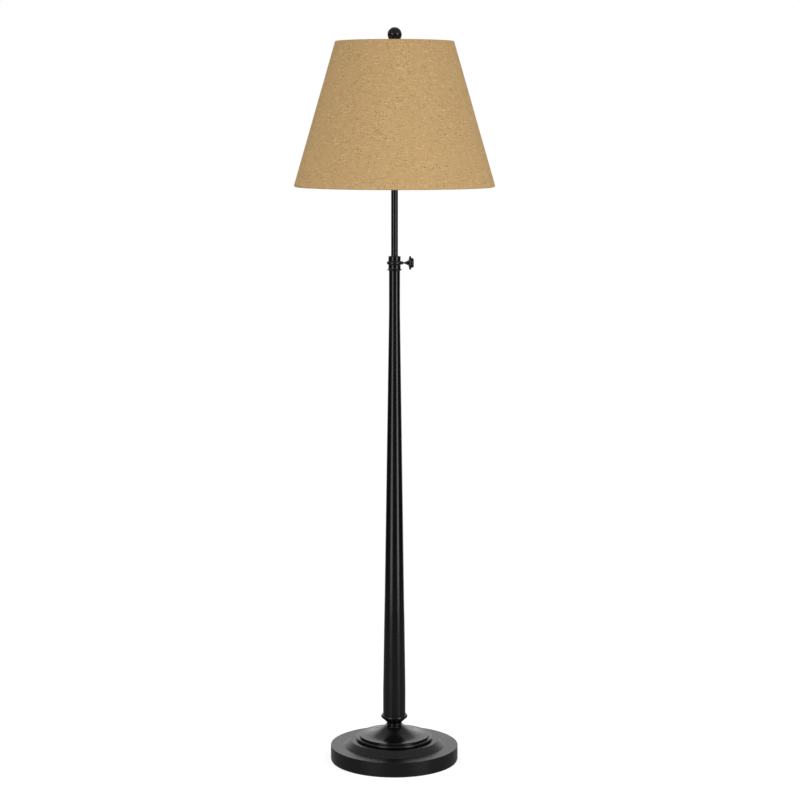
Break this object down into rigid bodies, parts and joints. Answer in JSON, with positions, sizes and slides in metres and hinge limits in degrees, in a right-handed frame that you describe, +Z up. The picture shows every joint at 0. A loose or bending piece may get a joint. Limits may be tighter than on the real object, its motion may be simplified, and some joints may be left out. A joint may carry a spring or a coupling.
{
  "type": "adjustable floor lamp",
  "caption": "Floor lamp with a stepped round base, a tapered column, a clamped sliding rod, and a flared fabric shade held on a wire harp by a ball finial.",
  "frame": {"origin": "centre of the base on the floor", "axes": "+Z up along the column, +X towards the thumb screw of the height clamp, the picture looks along +Y"},
  "size_m": [0.4064, 0.4064, 1.5133],
  "materials": {
    "foam": "foam pad",
    "cast_base": "satin black coating",
    "dark_metal": "satin black coating",
    "bright_steel": "plain steel",
    "brass": "plain brass",
    "antique_brass": "aged brass plating",
    "black_plastic": "moulded",
    "nylon": "natural nylon",
    "fibre": "insulating paper",
    "bakelite": "moulded phenolic",
    "bulb_metal": "rolled thread",
    "bulb_glass": "frosted",
    "shade_wire": "off-white coating",
    "lining": "off-white styrene sheet",
    "burlap": "coarse tan weave"
  },
  "bodies": {
    "stand": {"base_pad": "foam", "base_disc": "cast_base", "cord_bushing": "black_plastic", "base_dome": "dark_metal", "neck_cup": "dark_metal", "tie_pipe": "bright_steel", "base_washer": "bright_steel", "base_nut": "bright_steel", "column": "dark_metal", "column_plug": "bright_steel", "guide_tube": "bright_steel", "collar": "dark_metal", "collar_bush": "nylon"},
    "clamp_shoe": {"clamp_pad": "brass"},
    "thumb_screw": {"clamp_screw": "dark_metal", "clamp_knob": "dark_metal"},
    "rod_glide": {"glide": "nylon"},
    "mast": {"rod": "dark_metal", "rod_clips": "bright_steel", "rod_insert": "dark_metal", "lock_nut": "brass", "harp_saddle": "antique_brass", "harp": "antique_brass", "harp_stud": "brass", "socket_cap": "antique_brass", "socket_shell": "antique_brass", "insulating_sleeve": "fibre", "socket_core": "bakelite", "terminal_screws": "brass", "screw_shell": "brass", "centre_contact": "brass", "bulb_cap": "bulb_metal", "bulb_glass": "bulb_glass"},
    "switch": {"switch_stem": "brass", "switch_knob": "bakelite"},
    "sleeve_left": {"harp_sleeve_left": "antique_brass"},
    "sleeve_right": {"harp_sleeve_right": "antique_brass"},
    "shade": {"shade_frame": "shade_wire", "shade_bottom_ring": "shade_wire", "shade_lining": "lining", "shade_fabric": "burlap"},
    "finial": {"finial_base": "dark_metal", "finial_ball": "dark_metal"}
  },
  "joints": [
    {"name": "height_slide", "type": "slide", "parent": "stand", "child": "rod_glide", "axis": [0, 0, 1], "range_m": [-0.155, 0.1]},
    {"name": "rod_swivel", "type": "hinge", "parent": "rod_glide", "child": "mast", "pos_m": [0, 0, 0.9], "axis": [0, 0, 1], "range_deg": [-180, 180]},
    {"name": "clamp_travel", "type": "slide", "parent": "stand", "child": "clamp_shoe", "axis": [1, 0, 0], "range_m": [0, 0.0014]},
    {"name": "clamp_turn", "type": "hinge", "parent": "clamp_shoe", "child": "thumb_screw", "pos_m": [0.02, 0, 1.0404], "axis": [1, 0, 0], "range_deg": [0, 720]},
    {"name": "switch_turn", "type": "hinge", "parent": "mast", "child": "switch", "pos_m": [0, -0.02, 1.2658], "axis": [0, -1, 0], "continuous": true},
    {"name": "sleeve_left_lift", "type": "slide", "parent": "mast", "child": "sleeve_left", "axis": [0, 0, 1], "range_m": [0, 0.012]},
    {"name": "sleeve_right_lift", "type": "slide", "parent": "mast", "child": "sleeve_right", "axis": [0, 0, 1], "range_m": [0, 0.012]},
    {"name": "shade_turn", "type": "hinge", "parent": "mast", "child": "shade", "pos_m": [0, 0, 1.4768], "axis": [0, 0, 1], "continuous": true},
    {"name": "finial_turn", "type": "hinge", "parent": "mast", "child": "finial", "pos_m": [0, 0, 1.48], "axis": [0, 0, 1], "continuous": true}
  ],
  "couplings": [
    {"joint": "clamp_turn", "follows": "clamp_travel", "rad_per_m": 8976}
  ]
}
